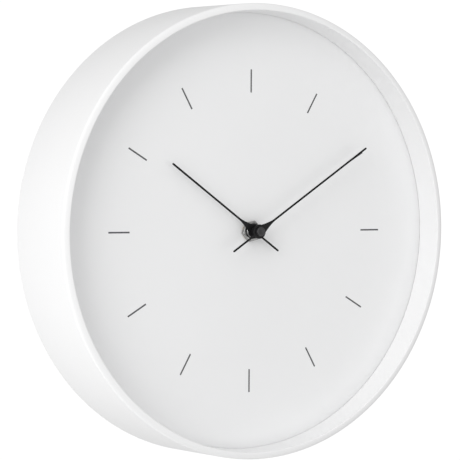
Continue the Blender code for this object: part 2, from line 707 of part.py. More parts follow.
def build_motion_work(axis, materials):
    """Cannon pinion and minute pipe, motion wheel, hour wheel and the setting arbor with its knob."""
    cannon_phase = 0.0
    motion_phase = meshing_phase(MOTION_ANGLE, cannon_phase, CANNON_TEETH, MOTION_TEETH)
    setting_phase = meshing_phase(SETTING_ANGLE, motion_phase, MOTION_TEETH, SETTING_TEETH)
    motion_pinion_phase = math.pi + MOTION_ANGLE
    towards_axis = MOTION_ANGLE + math.pi
    hour_phase = meshing_phase(towards_axis, motion_pinion_phase, MOTION_PINION_TEETH, HOUR_TEETH)

    pipe_stages = [(CANNON_TEETH, MOTION_MODULE, cannon_phase, MOTION_LEVEL)]
    pipe = wheel("minute_pipe", materials["movement_black"], axis, AXIS_CENTRE, pipe_stages)
    add(pipe, cylinder("pipe_body", PIPE_RADIUS, (PIPE_FRONT_Y, PIPE_BACK_Y), axis, segments=32))
    bore_levels = (PIPE_BACK_Y - PIPE_BORE_DEPTH, PIPE_BACK_Y + OVERRUN)
    cut(pipe, cylinder("pipe_bore", PIPE_BORE, bore_levels, axis, segments=12))

    motion_stages = [
        (MOTION_TEETH, MOTION_MODULE, motion_phase, MOTION_LEVEL),
        (MOTION_PINION_TEETH, HOUR_MODULE, motion_pinion_phase, reach(HOUR_LEVEL, MOTION_LEVEL)),
    ]
    motion = wheel("motion_wheel", materials["gear_white"], axis, MOTION_CENTRE, motion_stages)
    past_both_faces = (HOUR_LEVEL[0] - OVERRUN, MOTION_LEVEL[1] + OVERRUN)
    cut(motion, cylinder("motion_bore", POST_BORE, past_both_faces, axis, MOTION_CENTRE, 12))

    hour_stages = [(HOUR_TEETH, HOUR_MODULE, hour_phase, HOUR_LEVEL)]
    hour = wheel("hour_wheel", materials["movement_black"], axis, AXIS_CENTRE, hour_stages)
    tube_back_y = HOUR_LEVEL[1] - REST_GAP
    add(hour, cylinder("hour_tube", HOUR_TUBE_RADIUS, (HOUR_TUBE_FRONT_Y, tube_back_y), axis, segments=36))
    bore_levels = (HOUR_TUBE_FRONT_Y - OVERRUN, HOUR_LEVEL[1] + OVERRUN)
    cut(hour, cylinder("hour_tube_bore", HOUR_TUBE_BORE, bore_levels, axis, segments=36))

    setting_levels = (HOUSING_FLOOR_Y - PIVOT_DEPTH + END_PLAY, PLATE_BACK_Y + KNOB_THICKNESS)
    wheel(
        "setting_arbor",
        materials["gear_grey"],
        axis,
        SETTING_CENTRE,
        [(SETTING_TEETH, MOTION_MODULE, setting_phase, MOTION_LEVEL)],
        (SETTING_SHAFT, setting_levels),
    )
    knob_front_y = PLATE_BACK_Y + REST_GAP
    knob_levels = (knob_front_y, knob_front_y + KNOB_THICKNESS)
    knob = prism("setting_knob", knob_outline(), knob_levels, materials["gear_grey"], axis, SETTING_CENTRE)
    shaft_levels = (knob_front_y - OVERRUN, PLATE_BACK_Y + KNOB_THICKNESS + CLOSE_GAP)
    cut(knob, cylinder("knob_bore", SETTING_SHAFT + CLOSE_GAP, shaft_levels, axis, SETTING_CENTRE, 16))


def build_time_train(axis, materials):
    """Centre, third, fourth and fifth wheels and the rotor, each with its pinion on one arbor."""
    centre_phase = 0.0
    third_pinion_phase = meshing_phase(THIRD_ANGLE, centre_phase, CENTRE_TEETH, PINION_TEETH)
    third_phase = THIRD_ANGLE + math.pi
    fourth_pinion_phase = meshing_phase(THIRD_ANGLE + math.pi, third_phase, THIRD_TEETH, PINION_TEETH)
    fourth_phase = FIFTH_ANGLE
    fifth_pinion_phase = meshing_phase(FIFTH_ANGLE, fourth_phase, FOURTH_TEETH, PINION_TEETH)
    fifth_phase = ROTOR_ANGLE
    rotor_phase = meshing_phase(ROTOR_ANGLE, fifth_phase, FIFTH_TEETH, PINION_TEETH)

    centre_stages = [(CENTRE_TEETH, CENTRE_MODULE, centre_phase, CENTRE_LEVEL)]
    centre = wheel("centre_wheel", materials["gear_ivory"], axis, AXIS_CENTRE, centre_stages)
    past_both_faces = (CENTRE_LEVEL[0] - OVERRUN, CENTRE_LEVEL[1] + OVERRUN)
    cut(centre, cylinder("centre_bore", HOUR_TUBE_BORE, past_both_faces, axis))

    third_stages = [
        (THIRD_TEETH, THIRD_MODULE, third_phase, THIRD_LEVEL),
        (PINION_TEETH, CENTRE_MODULE, third_pinion_phase, reach(CENTRE_LEVEL, THIRD_LEVEL)),
    ]
    third_levels = (HOUSING_FLOOR_Y - PIVOT_DEPTH + END_PLAY, BRIDGE_LEVEL[1] - END_PLAY)
    third_arbor = (ARBOR_RADIUS, third_levels)
    wheel("third_wheel", materials["gear_white"], axis, THIRD_CENTRE, third_stages, third_arbor)

    fourth_stages = [
        (FOURTH_TEETH, FOURTH_MODULE, fourth_phase, FOURTH_LEVEL),
        (PINION_TEETH, THIRD_MODULE, fourth_pinion_phase, THIRD_LEVEL),
    ]
    fourth_arbor = (ARBOR_RADIUS, (PIPE_BACK_Y - PIPE_BORE_DEPTH + END_PLAY, ARBOR_BACK_Y))
    wheel("fourth_wheel", materials["gear_ivory"], axis, AXIS_CENTRE, fourth_stages, fourth_arbor)

    short_arbor = (ARBOR_RADIUS, (BRIDGE_LEVEL[0] + END_PLAY, ARBOR_BACK_Y))
    fifth_stages = [
        (FIFTH_TEETH, FIFTH_MODULE, fifth_phase, FIFTH_LEVEL),
        (PINION_TEETH, FOURTH_MODULE, fifth_pinion_phase, reach(FOURTH_LEVEL, FIFTH_LEVEL)),
    ]
    wheel("fifth_wheel", materials["gear_white"], axis, FIFTH_CENTRE, fifth_stages, short_arbor)

    rotor_stages = [(PINION_TEETH, FIFTH_MODULE, rotor_phase, FIFTH_LEVEL)]
    wheel("rotor_pinion", materials["gear_grey"], axis, ROTOR_CENTRE, rotor_stages, short_arbor)
    magnet_bore = ARBOR_RADIUS + CLOSE_GAP
    grey = materials["magnet_grey"]
    ring("rotor_magnet", magnet_bore, MAGNET_RADIUS, MAGNET_LEVEL, grey, axis, ROTOR_CENTRE, 24)


def build_motor(axis, materials):
    """Stator plate round the rotor, and the coil on its core across the stator's two legs."""
    x, z = ROTOR_CENTRE
    leg_top = COIL_Z + CORE_HALF_HEIGHT
    left = COIL_LEFT - CORE_OVERHANG
    right = COIL_RIGHT + CORE_OVERHANG
    left_arm = [
        (x, z),
        (x, z + STATOR_ARM),
        (left + STATOR_LEG, z + STATOR_ARM),
        (left + STATOR_LEG, leg_top),
        (left, leg_top),
        (left, z),
    ]
    right_arm = [
        (x, z - STATOR_ARM / 2),
        (right, z - STATOR_ARM / 2),
        (right, leg_top),
        (right - STATOR_LEG, leg_top),
        (right - STATOR_LEG, z + STATOR_ARM / 2),
        (x, z + STATOR_ARM / 2),
    ]
    stator = prism("stator", left_arm, STATOR_LEVEL, materials["stator_steel"], axis)
    add(stator, prism("stator_right_arm", right_arm, STATOR_LEVEL, None, axis))
    add(stator, cylinder("stator_ring", STATOR_RING_RADIUS, STATOR_LEVEL, axis, ROTOR_CENTRE, 32))
    past_both_faces = (STATOR_LEVEL[0] - OVERRUN, STATOR_LEVEL[1] + OVERRUN)
    cut(stator, cylinder("stator_hole", STATOR_HOLE_RADIUS, past_both_faces, axis, ROTOR_CENTRE, 32))

    core_back_y = STATOR_LEVEL[0] - REST_GAP
    core_levels = (core_back_y - 2 * CORE_HALF_THICKNESS, core_back_y)
    core = rectangle(left, right, COIL_Z - CORE_HALF_HEIGHT, COIL_Z + CORE_HALF_HEIGHT)
    prism("coil_core", core, core_levels, materials["stator_steel"], axis)

    coil_y = core_back_y - CORE_HALF_THICKNESS
    bobbin = prism(
        "coil_bobbin",
        rectangle(COIL_LEFT, COIL_RIGHT, COIL_Z - COIL_TUBE_HALF, COIL_Z + COIL_TUBE_HALF),
        (coil_y - COIL_TUBE_HALF, coil_y + COIL_TUBE_HALF),
        materials["gear_white"],
        axis,
    )
    flange_levels = (coil_y - COIL_FLANGE_HALF, coil_y + COIL_FLANGE_HALF)
    flange_starts = {"left": COIL_LEFT, "right": COIL_RIGHT - COIL_FLANGE}
    for side, start in flange_starts.items():
        flange = rectangle(start, start + COIL_FLANGE, COIL_Z - COIL_FLANGE_HALF, COIL_Z + COIL_FLANGE_HALF)
        add(bobbin, prism(f"bobbin_flange_{side}", flange, flange_levels, None, axis))
    passage_half = CORE_HALF_HEIGHT + CLOSE_GAP
    passage = rectangle(left, right, COIL_Z - passage_half, COIL_Z + passage_half)
    passage_levels = (core_levels[0] - CLOSE_GAP, core_levels[1] + CLOSE_GAP)
    cut(bobbin, prism("bobbin_passage", passage, passage_levels, None, axis))

    winding_left = COIL_LEFT + COIL_FLANGE + CLOSE_GAP
    winding_right = COIL_RIGHT - COIL_FLANGE - CLOSE_GAP
    inner = (COIL_TUBE_HALF + CLOSE_GAP) * math.sqrt(2)
    winding = ring(
        "coil_winding",
        inner,
        WINDING_RADIUS,
        (winding_left, winding_right),
        materials["copper"],
        axis,
    )
    winding.rotation_euler = (0.0, 0.0, -math.pi / 2)
    winding.location = (0.0, coil_y, COIL_Z)


def build_circuit(axis, materials):
    """Circuit board on its two posts, with the chip under its blob and the quartz crystal's can."""
    board = rectangle(BOARD_LEFT, BOARD_RIGHT, BOARD_BOTTOM, BOARD_TOP)
    prism("circuit_board", board, BOARD_LEVEL, materials["board_green"], axis)
    middle = (BOARD_LEFT + BOARD_RIGHT) / 2
    board_back_y = BOARD_LEVEL[1] + CLOSE_GAP
    blob = [
        (0.0, board_back_y),
        (CHIP_RADIUS, board_back_y),
        (CHIP_SHOULDER_RADIUS, board_back_y + CHIP_SHOULDER_HEIGHT),
        (0.0, board_back_y + CHIP_HEIGHT),
    ]
    turned("clock_chip", blob, materials["chip_black"], axis, (middle, CHIP_Z), 16)
    can = prism(
        "quartz_crystal",
        circle(CRYSTAL_RADIUS, 16),
        (-CRYSTAL_LENGTH / 2, CRYSTAL_LENGTH / 2),
        materials["nickel"],
        axis,
    )
    can.rotation_euler = (math.pi / 2, 0.0, 0.0)
    can.location = (middle, board_back_y + CRYSTAL_RADIUS, CRYSTAL_Z + CRYSTAL_LENGTH / 2)


def build_battery(axis, materials):
    """One round cell lying in its bay between two spring contacts."""
    bay_z = (BAY_TOP - HOUSING_HALF + HOUSING_WALL) / 2
    battery_y = HOUSING_FLOOR_Y + REST_GAP + BATTERY_RADIUS
    half = BATTERY_LENGTH / 2
    profile = [
        (0.0, -half),
        (BATTERY_RADIUS - BATTERY_EDGE, -half),
        (BATTERY_RADIUS, BATTERY_EDGE - half),
        (BATTERY_RADIUS, half - BATTERY_EDGE),
        (BATTERY_RADIUS - BATTERY_EDGE, half),
        (BATTERY_NUB_RADIUS, half),
        (BATTERY_NUB_RADIUS, half + BATTERY_NUB_LENGTH),
        (0.0, half + BATTERY_NUB_LENGTH),
    ]
    cell = turned("battery", profile, materials["battery_wrap"], axis)
    cell.rotation_euler = (0.0, 0.0, -math.pi / 2)
    cell.location = (BATTERY_CENTRE_X, battery_y, bay_z)

    wall_x = HOUSING_HALF - HOUSING_WALL - REST_GAP
    levels = (battery_y - CONTACT_HALF_DEPTH, battery_y + CONTACT_HALF_DEPTH)
    bottom = bay_z - CONTACT_HALF_HEIGHT
    top = bay_z + CONTACT_HALF_HEIGHT
    plate = rectangle(wall_x - CONTACT_THICKNESS, wall_x, bottom, top)
    prism("battery_contact_positive", plate, levels, materials["nickel"], axis)
    leaf_x = CONTACT_THICKNESS - wall_x
    leaf = [
        (-wall_x, bottom),
        (leaf_x, bottom),
        (leaf_x + CONTACT_BOW, bay_z),
        (leaf_x, top),
        (-wall_x, top),
        (CONTACT_BOW - wall_x, bay_z),
    ]
    prism("battery_contact_negative", leaf, levels, materials["nickel"], axis)


# ---------------------------------------------------------------- hands


def build_hand(name, axis, materials, length, tail_length, plane_y, turn, collar_radius, bore):
    """A stamped hand with a short collar behind its hub, turned clockwise to the time shown."""
    levels = (plane_y - HAND_THICKNESS / 2, plane_y + HAND_THICKNESS / 2)
    hand = prism(name, hand_outline(length, tail_length), levels, materials["hand_black"], axis)
    collar_levels = (plane_y, levels[1] + COLLAR_LENGTH)
    collar = cylinder(f"{name}_collar", collar_radius, collar_levels, axis)
    add(hand, collar)
    bore_levels = (levels[0] - OVERRUN, levels[1] + COLLAR_LENGTH + OVERRUN)
    hole = cylinder(f"{name}_bore", bore, bore_levels, axis, segments=36)
    cut(hand, hole)
    for piece in (hand, collar, hole):
        piece.rotation_euler = (0.0, turn, 0.0)


def build_hands(axis, materials):
    build_hand(
        "hour_hand",
        axis,
        materials,
        HOUR_HAND_LENGTH,
        HOUR_TAIL_LENGTH,
        HOUR_HAND_Y,
        HOUR_HAND_TURN,
        HOUR_COLLAR_RADIUS,
        HOUR_TUBE_RADIUS + CLOSE_GAP,
    )
    build_hand(
        "minute_hand",
        axis,
        materials,
        MINUTE_HAND_LENGTH,
        MINUTE_TAIL_LENGTH,
        MINUTE_HAND_Y,
        MINUTE_HAND_TURN,
        MINUTE_COLLAR_RADIUS,
        PIPE_RADIUS + CLOSE_GAP,
    )


def build_hand_nut(axis, materials):
    """The round cap screwed on the pipe's end, which holds the minute hand."""
    back_y = MINUTE_HAND_Y - HAND_THICKNESS / 2 - CLOSE_GAP
    bore_radius = PIPE_RADIUS + CLOSE_GAP
    bore_end_y = PIPE_FRONT_Y - CLOSE_GAP
    edge_centre = (CAP_RADIUS - CAP_EDGE, CAP_FRONT_Y + CAP_EDGE)
    profile = [(0.0, bore_end_y), (bore_radius, bore_end_y), (bore_radius, back_y), (CAP_RADIUS, back_y)]
    profile += arc(edge_centre, CAP_EDGE, 0.0, -math.pi / 2, 3)
    profile += [(0.0, CAP_FRONT_Y - CAP_DOME)]
    turned("hand_nut", profile, materials["cap_black"], axis)


def main():
    for obj in list(bpy.data.objects):
        bpy.data.objects.remove(obj)
    materials = make_materials()
    axis = bpy.data.objects.new("dial_axis", None)
    axis.location = (0.0, 0.0, -HANG_DROP)
    bpy.context.scene.collection.objects.link(axis)

    build_case_shell(axis, materials)
    build_dial(axis, materials)
    build_rear_cover(axis, materials)
    for number, angle in enumerate(BOSS_ANGLES, 1):
        build_cover_screw(number, angle, axis, materials)
    build_housing(axis, materials)
    build_bush(axis, materials)
    build_movement_plate(axis, materials)
    build_wheel_bridge(axis, materials)
    build_dial_fixing(axis, materials)
    build_motion_work(axis, materials)
    build_time_train(axis, materials)
    build_motor(axis, materials)
    build_circuit(axis, materials)
    build_battery(axis, materials)
    build_hands(axis, materials)
    build_hand_nut(axis, materials)


main()
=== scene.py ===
"""Looks of the round wall clock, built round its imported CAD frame.

The dial faces -Y, the wall is the plane Y = 0 and +Z is up. Lengths are in metres. A profile is a list of
(radius, y) points that is turned about a line along Y, and an outline is a list of (x, z) points as seen
from the front.
"""

import json
import math

import bmesh
import bpy
from mathutils import Matrix, Vector


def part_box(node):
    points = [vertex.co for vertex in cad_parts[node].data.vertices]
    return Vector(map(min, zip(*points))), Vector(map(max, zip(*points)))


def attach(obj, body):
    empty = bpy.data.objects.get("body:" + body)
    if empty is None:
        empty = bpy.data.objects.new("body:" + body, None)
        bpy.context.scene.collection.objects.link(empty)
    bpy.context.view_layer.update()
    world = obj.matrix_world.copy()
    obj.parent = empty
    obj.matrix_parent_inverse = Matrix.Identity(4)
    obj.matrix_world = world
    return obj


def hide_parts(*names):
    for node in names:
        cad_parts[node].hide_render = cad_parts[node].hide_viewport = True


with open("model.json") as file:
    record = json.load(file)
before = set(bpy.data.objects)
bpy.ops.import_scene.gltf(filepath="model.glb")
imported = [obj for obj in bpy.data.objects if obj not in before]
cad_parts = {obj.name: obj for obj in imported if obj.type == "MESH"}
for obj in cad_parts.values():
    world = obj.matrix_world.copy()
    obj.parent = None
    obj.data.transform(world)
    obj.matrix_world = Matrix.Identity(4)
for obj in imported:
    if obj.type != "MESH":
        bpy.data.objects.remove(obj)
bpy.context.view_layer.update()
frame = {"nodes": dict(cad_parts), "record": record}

# Places that the CAD model gives
CASE_LOW, CASE_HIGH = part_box("case_shell")
AXIS = ((CASE_LOW.x + CASE_HIGH.x) / 2, (CASE_LOW.z + CASE_HIGH.z) / 2)
CASE_RADIUS = (CASE_HIGH.x - CASE_LOW.x) / 2
CASE_FRONT_Y = CASE_LOW.y
DIAL_FRONT_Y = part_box("dial_plate")[0].y

# Case
FRONT_WALL_RADIUS = 0.1353
WELL_RADIUS = 0.1310
LIP_INNER_ROUND = 0.0005
LIP_CROWN_WIDTH = FRONT_WALL_RADIUS - WELL_RADIUS - LIP_INNER_ROUND
LIP_CROWN_DEPTH = 0.0018
LEDGE_RADIUS = 0.1337
LEDGE_GAP = 0.0003
REAR_INNER_RADIUS = 0.1347
REAR_EDGE_ROUND = 0.0005
CASE_SEGMENTS = 288
BOSS_COUNT = 4
BOSS_RADIAL = 0.1295
BOSS_RADIUS = 0.0048
BOSS_BORE = 0.0016
BOSS_BORE_DEPTH = 0.0120
BOSS_FRONT_Y = -0.0300
BOSS_BACK_Y = -0.0043
BOSS_EDGE = 0.0004

# Hour marks
MARK_COUNT = 12
MARK_INNER = 0.0833
MARK_OUTER = 0.0972
MARK_WIDTH = 0.00093
MARK_THICKNESS = 0.00004
MARK_GAP = 0.000005
MARK_CORNER = 0.00010

# Dial fixing
NUT_CHAMFER = 0.0006
NUT_CHAMFER_INSET = 2 * NUT_CHAMFER
NUT_CHAMFER_SLOPE = 2 / 3
NUT_BORE = 0.00430
NUT_TURN = math.radians(11)
NUT_EDGE = 0.00010
WASHER_BORE = 0.0043
WASHER_EDGE = 0.00008
THREAD_ROOT = 0.00395
THREAD_CREST = 0.00420
THREAD_PITCH = 0.00075
THREAD_TURN_STEPS = 48
THREAD_RUN_OUT = THREAD_TURN_STEPS / 4
THREAD_ROOT_SHARE = 0.42
THREAD_CREST_SHARE = 0.08
BUSH_BORE = 0.00265
BUSH_SHANK_RADIUS = 0.0034
BUSH_GAP = 0.0001
BUSH_EDGE = 0.0002

# Hands
NEEDLE_HALF = 0.00056
HUB_RADIUS = 0.0043
WING_START = 0.0130
WING_ANGLE = math.radians(38)
WING_POWER = 1.6
WING_STEPS = 20
TIP_STEPS = 5
HUB_STEPS = 28
HAND_THICKNESS = 0.0005
HAND_BEVEL = 0.00009
SHOWN_HOUR = 10
MINUTE_HAND_TURN = math.radians(57.25)
HOUR_HAND_TURN = SHOWN_HOUR * math.tau / MARK_COUNT + MINUTE_HAND_TURN / MARK_COUNT
MINUTE_BORE = 0.0015
HANDS = {
    "hour_hand": {
        "body": "hour_group",
        "length": 0.0702,
        "tail_length": 0.0211,
        "turn": HOUR_HAND_TURN,
        "collar_radius": 0.0036,
        "bore": 0.0026,
    },
    "minute_hand": {
        "body": "minute_group",
        "length": 0.0946,
        "tail_length": 0.0219,
        "turn": MINUTE_HAND_TURN,
        "collar_radius": 0.0027,
        "bore": MINUTE_BORE,
    },
}
CAP_EDGE = 0.0005
CAP_BACK_EDGE = CAP_EDGE / 4
CAP_DIMPLE_RADIUS = 0.0009
CAP_DIMPLE_DEPTH = 0.0002
CAP_DIMPLE_WALL = 0.7
CAP_DIMPLE_FLOOR = 0.3

# Back
SCREW_SHANK_RADIUS = 0.00145
SCREW_HEAD_HEIGHT = 0.0015
SCREW_HEAD_ROUND = 0.6 * SCREW_HEAD_HEIGHT
SCREW_RECESS_DEPTH = 0.7 * SCREW_HEAD_HEIGHT
SCREW_RECESS_ARM = 0.58
SCREW_RECESS_HALF_WIDTH = 0.13
SCREW_RECESS_CORNER = 0.3
KNOB_FLUTES = 18
KNOB_FLUTE_STEPS = 10
KNOB_FLUTE_DEPTH = 0.00022
KNOB_EDGE = 0.00025
KNOB_BORE = 0.0013
CELL_EDGE = 0.0006
CELL_NUB_RADIUS = 0.0027
CELL_NUB_LENGTH = 0.0010
CELL_FOLD = 0.0012
CELL_STEP = CELL_EDGE / 4
WRAP_MATERIAL = 0
METAL_MATERIAL = 1

# Looks: the range that noise mostly keeps to, how far the roughness strays from the one given, the scale
# of the wave texture for a line size of 1 m, and the parts of the circuit board and the battery's wrap
NOISE_LOW = 0.3
NOISE_HIGH = 0.7
GLOSS_SPREAD = 0.05
LINED_GLOSS_RISE = 0.08
BOARD_GLOSS_SPREAD = 0.1
WAVE_SCALE = 0.1
TRACK_LIGHTNESS = 1.9
WRAP_BAND_START = 0.74
WRAP_BAND_END = 0.77
WRAP_BAND_COLOR = (0.72, 0.74, 0.76)
WRAP_END_LIGHTNESS = 1.6
WRAP_SHADE = (0.90, 0.90, 0.90)

# Sockets of a Mix node that mixes colors
MIX_LOW = 6
MIX_HIGH = 7
MIX_RESULT = 2

# Camera
CAMERA_AZIMUTH = math.radians(-32.95)
CAMERA_ELEVATION = math.radians(1.59)
CAMERA_ROLL = math.radians(0.40)
CAMERA_DISTANCE = 0.9974
CAMERA_LENS = 133.46
CAMERA_SENSOR = 36.0
CAMERA_TARGET = Vector((-0.02602, CASE_FRONT_Y, AXIS[1] + 0.0014))

# Light and surroundings. A softbox has an azimuth and an elevation in degrees, and a power in watts.
SOFTBOX_DISTANCE = 1.6
SOFTBOX_SIZE = 1.0
SOFTBOXES = {
    "key_high": (-60, 20, 8.4),
    "key_low": (-60, -10, 2.9),
    "side_bounce": (-110, -40, 6.8),
    "fill": (15, -10, 3.5),
    "hair": (-35, 50, 2.9),
}
AMBIENT_STRENGTH = 0.588
BACKDROP_STRENGTH = 1.05
FLOOR_SIZE = 6.0
FLOOR_Z = -1.6


# ---------------------------------------------------------------- outlines and profiles


def circle(radius, segments=64, centre=(0.0, 0.0)):
    step = math.tau / segments
    return [
        (centre[0] + radius * math.cos(k * step), centre[1] + radius * math.sin(k * step))
        for k in range(segments)
    ]


def arc(centre, radius, start, end, steps):
    """Points along an arc, both ends included."""
    turn = (end - start) / steps
    return [
        (centre[0] + radius * math.cos(start + k * turn), centre[1] + radius * math.sin(start + k * turn))
        for k in range(steps + 1)
    ]


def rounded_rectangle(left, right, bottom, top, corner, steps=3):
    """A rectangle whose corners are quarter circles."""
    quarter = math.pi / 2
    centres = [
        (right - corner, bottom + corner, -quarter),
        (right - corner, top - corner, 0.0),
        (left + corner, top - corner, quarter),
        (left + corner, bottom + corner, 2 * quarter),
    ]
    points = []
    for x, z, start in centres:
        points += arc((x, z), corner, start, start + quarter, steps)
    return points


def rod_profile(radius, front_y, back_y):
    """The profile of a plain rod along Y, which also serves to cut a bore."""
    return [(0.0, front_y), (radius, front_y), (radius, back_y), (0.0, back_y)]


def turned_clockwise(outline, turn):
    """The outline turned about the axis, clockwise as seen from the front."""
    c, s = math.cos(turn), math.sin(turn)
    return [(x * c + z * s, z * c - x * s) for x, z in outline]


def hand_outline(length, tail_length):
    """A needle along +Z that flares into a round hub, with a plain needle tail."""
    wing_z = HUB_RADIUS * math.cos(WING_ANGLE)
    wing_x = HUB_RADIUS * math.sin(WING_ANGLE)
    quarter = math.pi / 2
    right = arc((0.0, length - NEEDLE_HALF), NEEDLE_HALF, quarter, 0.0, TIP_STEPS)
    for k in range(WING_STEPS + 1):
        share = k / WING_STEPS
        width = NEEDLE_HALF + (wing_x - NEEDLE_HALF) * share**WING_POWER
        right.append((width, WING_START + (wing_z - WING_START) * share))
    tail_angle = math.asin(NEEDLE_HALF / HUB_RADIUS)
    right += arc((0.0, 0.0), HUB_RADIUS, quarter - WING_ANGLE, tail_angle - quarter, HUB_STEPS)[1:]
    right += arc((0.0, NEEDLE_HALF - tail_length), NEEDLE_HALF, 0.0, -quarter, TIP_STEPS)
    left = [(-x, z) for x, z in reversed(right[1:-1])]
    return right + left


# ---------------------------------------------------------------- meshes


def add_turned(bm, profile, segments=96, looped=True, bands=None, centre=(0.0, 0.0)):
    """Adds a profile turned about a line along Y. Points with no radius become poles on that line."""
    rings = []
    for radius, y in profile:
        if radius == 0.0:
            rings.append([bm.verts.new((centre[0], y, centre[1]))] * segments)
        else:
            rings.append([bm.verts.new((x, y, z)) for x, z in circle(radius, segments, centre)])
    followers = rings[1:] + rings[:1] if looped else rings[1:]
    for band, (near, far) in enumerate(zip(rings, followers)):
        for k in range(segments):
            following = (k + 1) % segments
            corners = []
            for vertex in (near[k], near[following], far[following], far[k]):
                if vertex not in corners:
                    corners.append(vertex)
            if len(corners) > 2:
                face = bm.faces.new(corners)
                face.material_index = bands[band] if bands else 0
    return bm


def add_prism(bm, outline, levels, front_bevel=0.0):
    """Adds an outline that reaches from levels[0], its front, to levels[1], with its front edge rounded."""
    front, back = ([bm.verts.new((x, y, z)) for x, z in outline] for y in levels)
    front_face = bm.faces.new(front)
    bm.faces.new(reversed(back))
    for k in range(len(outline)):
        bm.faces.new((front[k], front[k - 1], back[k - 1], back[k]))
    if front_bevel:
        bmesh.ops.recalc_face_normals(bm, faces=bm.faces)
        edges = list(front_face.edges)
        bmesh.ops.bevel(bm, geom=edges, offset=front_bevel, segments=3, affect="EDGES", profile=0.5)
    return bm


def plain_object(name, bm):
    bmesh.ops.recalc_face_normals(bm, faces=bm.faces)
    mesh = bpy.data.meshes.new(name)
    bm.to_mesh(mesh)
    bm.free()
    made = bpy.data.objects.new(name, mesh)
    bpy.context.scene.collection.objects.link(made)
    return made


def applied(piece):
    """Replaces the piece's mesh by what its modifiers make of it."""
    depsgraph = bpy.context.evaluated_depsgraph_get()
    mesh = bpy.data.meshes.new_from_object(piece.evaluated_get(depsgraph))
    piece.modifiers.clear()
    piece.data = mesh


def carve(piece, cutter, operation="DIFFERENCE"):
    """Cuts the cutter away from the piece, or joins it on with UNION, and removes the cutter."""
    modifier = piece.modifiers.new("carve", "BOOLEAN")
    modifier.solver = "EXACT"
    modifier.operation = operation
    modifier.object = cutter
    applied(piece)
    bpy.data.objects.remove(cutter)


def round_edges(piece, width, angle=30):
    modifier = piece.modifiers.new("round", "BEVEL")
    modifier.width = width
    modifier.segments = 2
    modifier.limit_method = "ANGLE"
    modifier.angle_limit = math.radians(angle)
    applied(piece)


def finished(piece, body, slot, looks, nodes=(), centre=AXIS, extra_looks=(), sharp=35):
    """Shades the piece, puts its origin at centre and lets it ride on a body in place of CAD nodes."""
    piece.data.materials.clear()
    for look in (slot, *extra_looks):
        piece.data.materials.append(looks[look])
    piece.data.shade_smooth()
    piece.data.set_sharp_from_angle(angle=math.radians(sharp))
    piece.location = (centre[0], 0.0, centre[1])
    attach(piece, body)
    if nodes:
        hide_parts(*nodes)
    return piece


def middle(cad_node):
    """The (x, z) centre of a CAD node's box."""
    low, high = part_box(cad_node)
    return ((low.x + high.x) / 2, (low.z + high.z) / 2)


# ---------------------------------------------------------------- materials


def node(tree, kind, inputs=None, **settings):
    """Adds a shader node. An input that is a socket is linked, and any other is set as a value."""
    made = tree.nodes.new(kind)
    for name, value in settings.items():
        setattr(made, name, value)
    for socket, value in (inputs or {}).items():
        if isinstance(value, bpy.types.NodeSocket):
            tree.links.new(value, made.inputs[socket])
        else:
            made.inputs[socket].default_value = value
    return made


def noise(tree, place, scale, detail=2.0):
    settings = {"Vector": place, "Scale": scale, "Detail": detail, "Roughness": 0.55}
    return node(tree, "ShaderNodeTexNoise", settings).outputs["Fac"]


def spread(tree, source, low, high):
    """Noise, which lies mostly between NOISE_LOW and NOISE_HIGH, spread over low to high."""
    settings = {
        "Value": source,
        "From Min": NOISE_LOW,
        "From Max": NOISE_HIGH,
        "To Min": low,
        "To Max": high,
    }
    return node(tree, "ShaderNodeMapRange", settings).outputs["Result"]


def blend_colors(tree, share, low, high):
    made = node(tree, "ShaderNodeMix", {"Factor": share}, data_type="RGBA")
    made.inputs[MIX_LOW].default_value = (*low, 1.0)
    made.inputs[MIX_HIGH].default_value = (*high, 1.0)
    return made.outputs[MIX_RESULT]


def scaled(color, share):
    return tuple(min(1.0, channel * share) for channel in color)


def new_look(name):
    material = bpy.data.materials.new(name)
    material.use_nodes = True
    tree = material.node_tree
    return material, tree, tree.nodes["Principled BSDF"]


def tint(tree, shader, share, color, tone):
    """Varies the base color round the given one, by the tone either way."""
    mixed = blend_colors(tree, share, scaled(color, 1.0 - tone), scaled(color, 1.0 + tone))
    tree.links.new(mixed, shader.inputs["Base Color"])


def vary_gloss(tree, shader, source, low, high):
    tree.links.new(spread(tree, source, low, high), shader.inputs["Roughness"])


def emboss(tree, shader, height, depth):
    bump = node(tree, "ShaderNodeBump", {"Height": height, "Distance": depth})
    tree.links.new(bump.outputs["Normal"], shader.inputs["Normal"])


def moulded(name, color, roughness, tone, tone_scale, grain, depth, metallic=0.0, specular=0.5):
    """A surface with faint cloudy tone and fine grain that also breaks the gloss.

    The tone and the grain are noise of the scales tone_scale and grain, and depth is the grain's height.
    """
    material, tree, shader = new_look(name)
    place = node(tree, "ShaderNodeTexCoord").outputs["Object"]
    cloud = spread(tree, noise(tree, place, tone_scale, 3.0), 0.0, 1.0)
    fine = noise(tree, place, grain)
    tint(tree, shader, cloud, color, tone)
    vary_gloss(tree, shader, fine, roughness - GLOSS_SPREAD, roughness + GLOSS_SPREAD)
    emboss(tree, shader, fine, depth)
    shader.inputs["Metallic"].default_value = metallic
    shader.inputs["Specular IOR Level"].default_value = specular
    return material


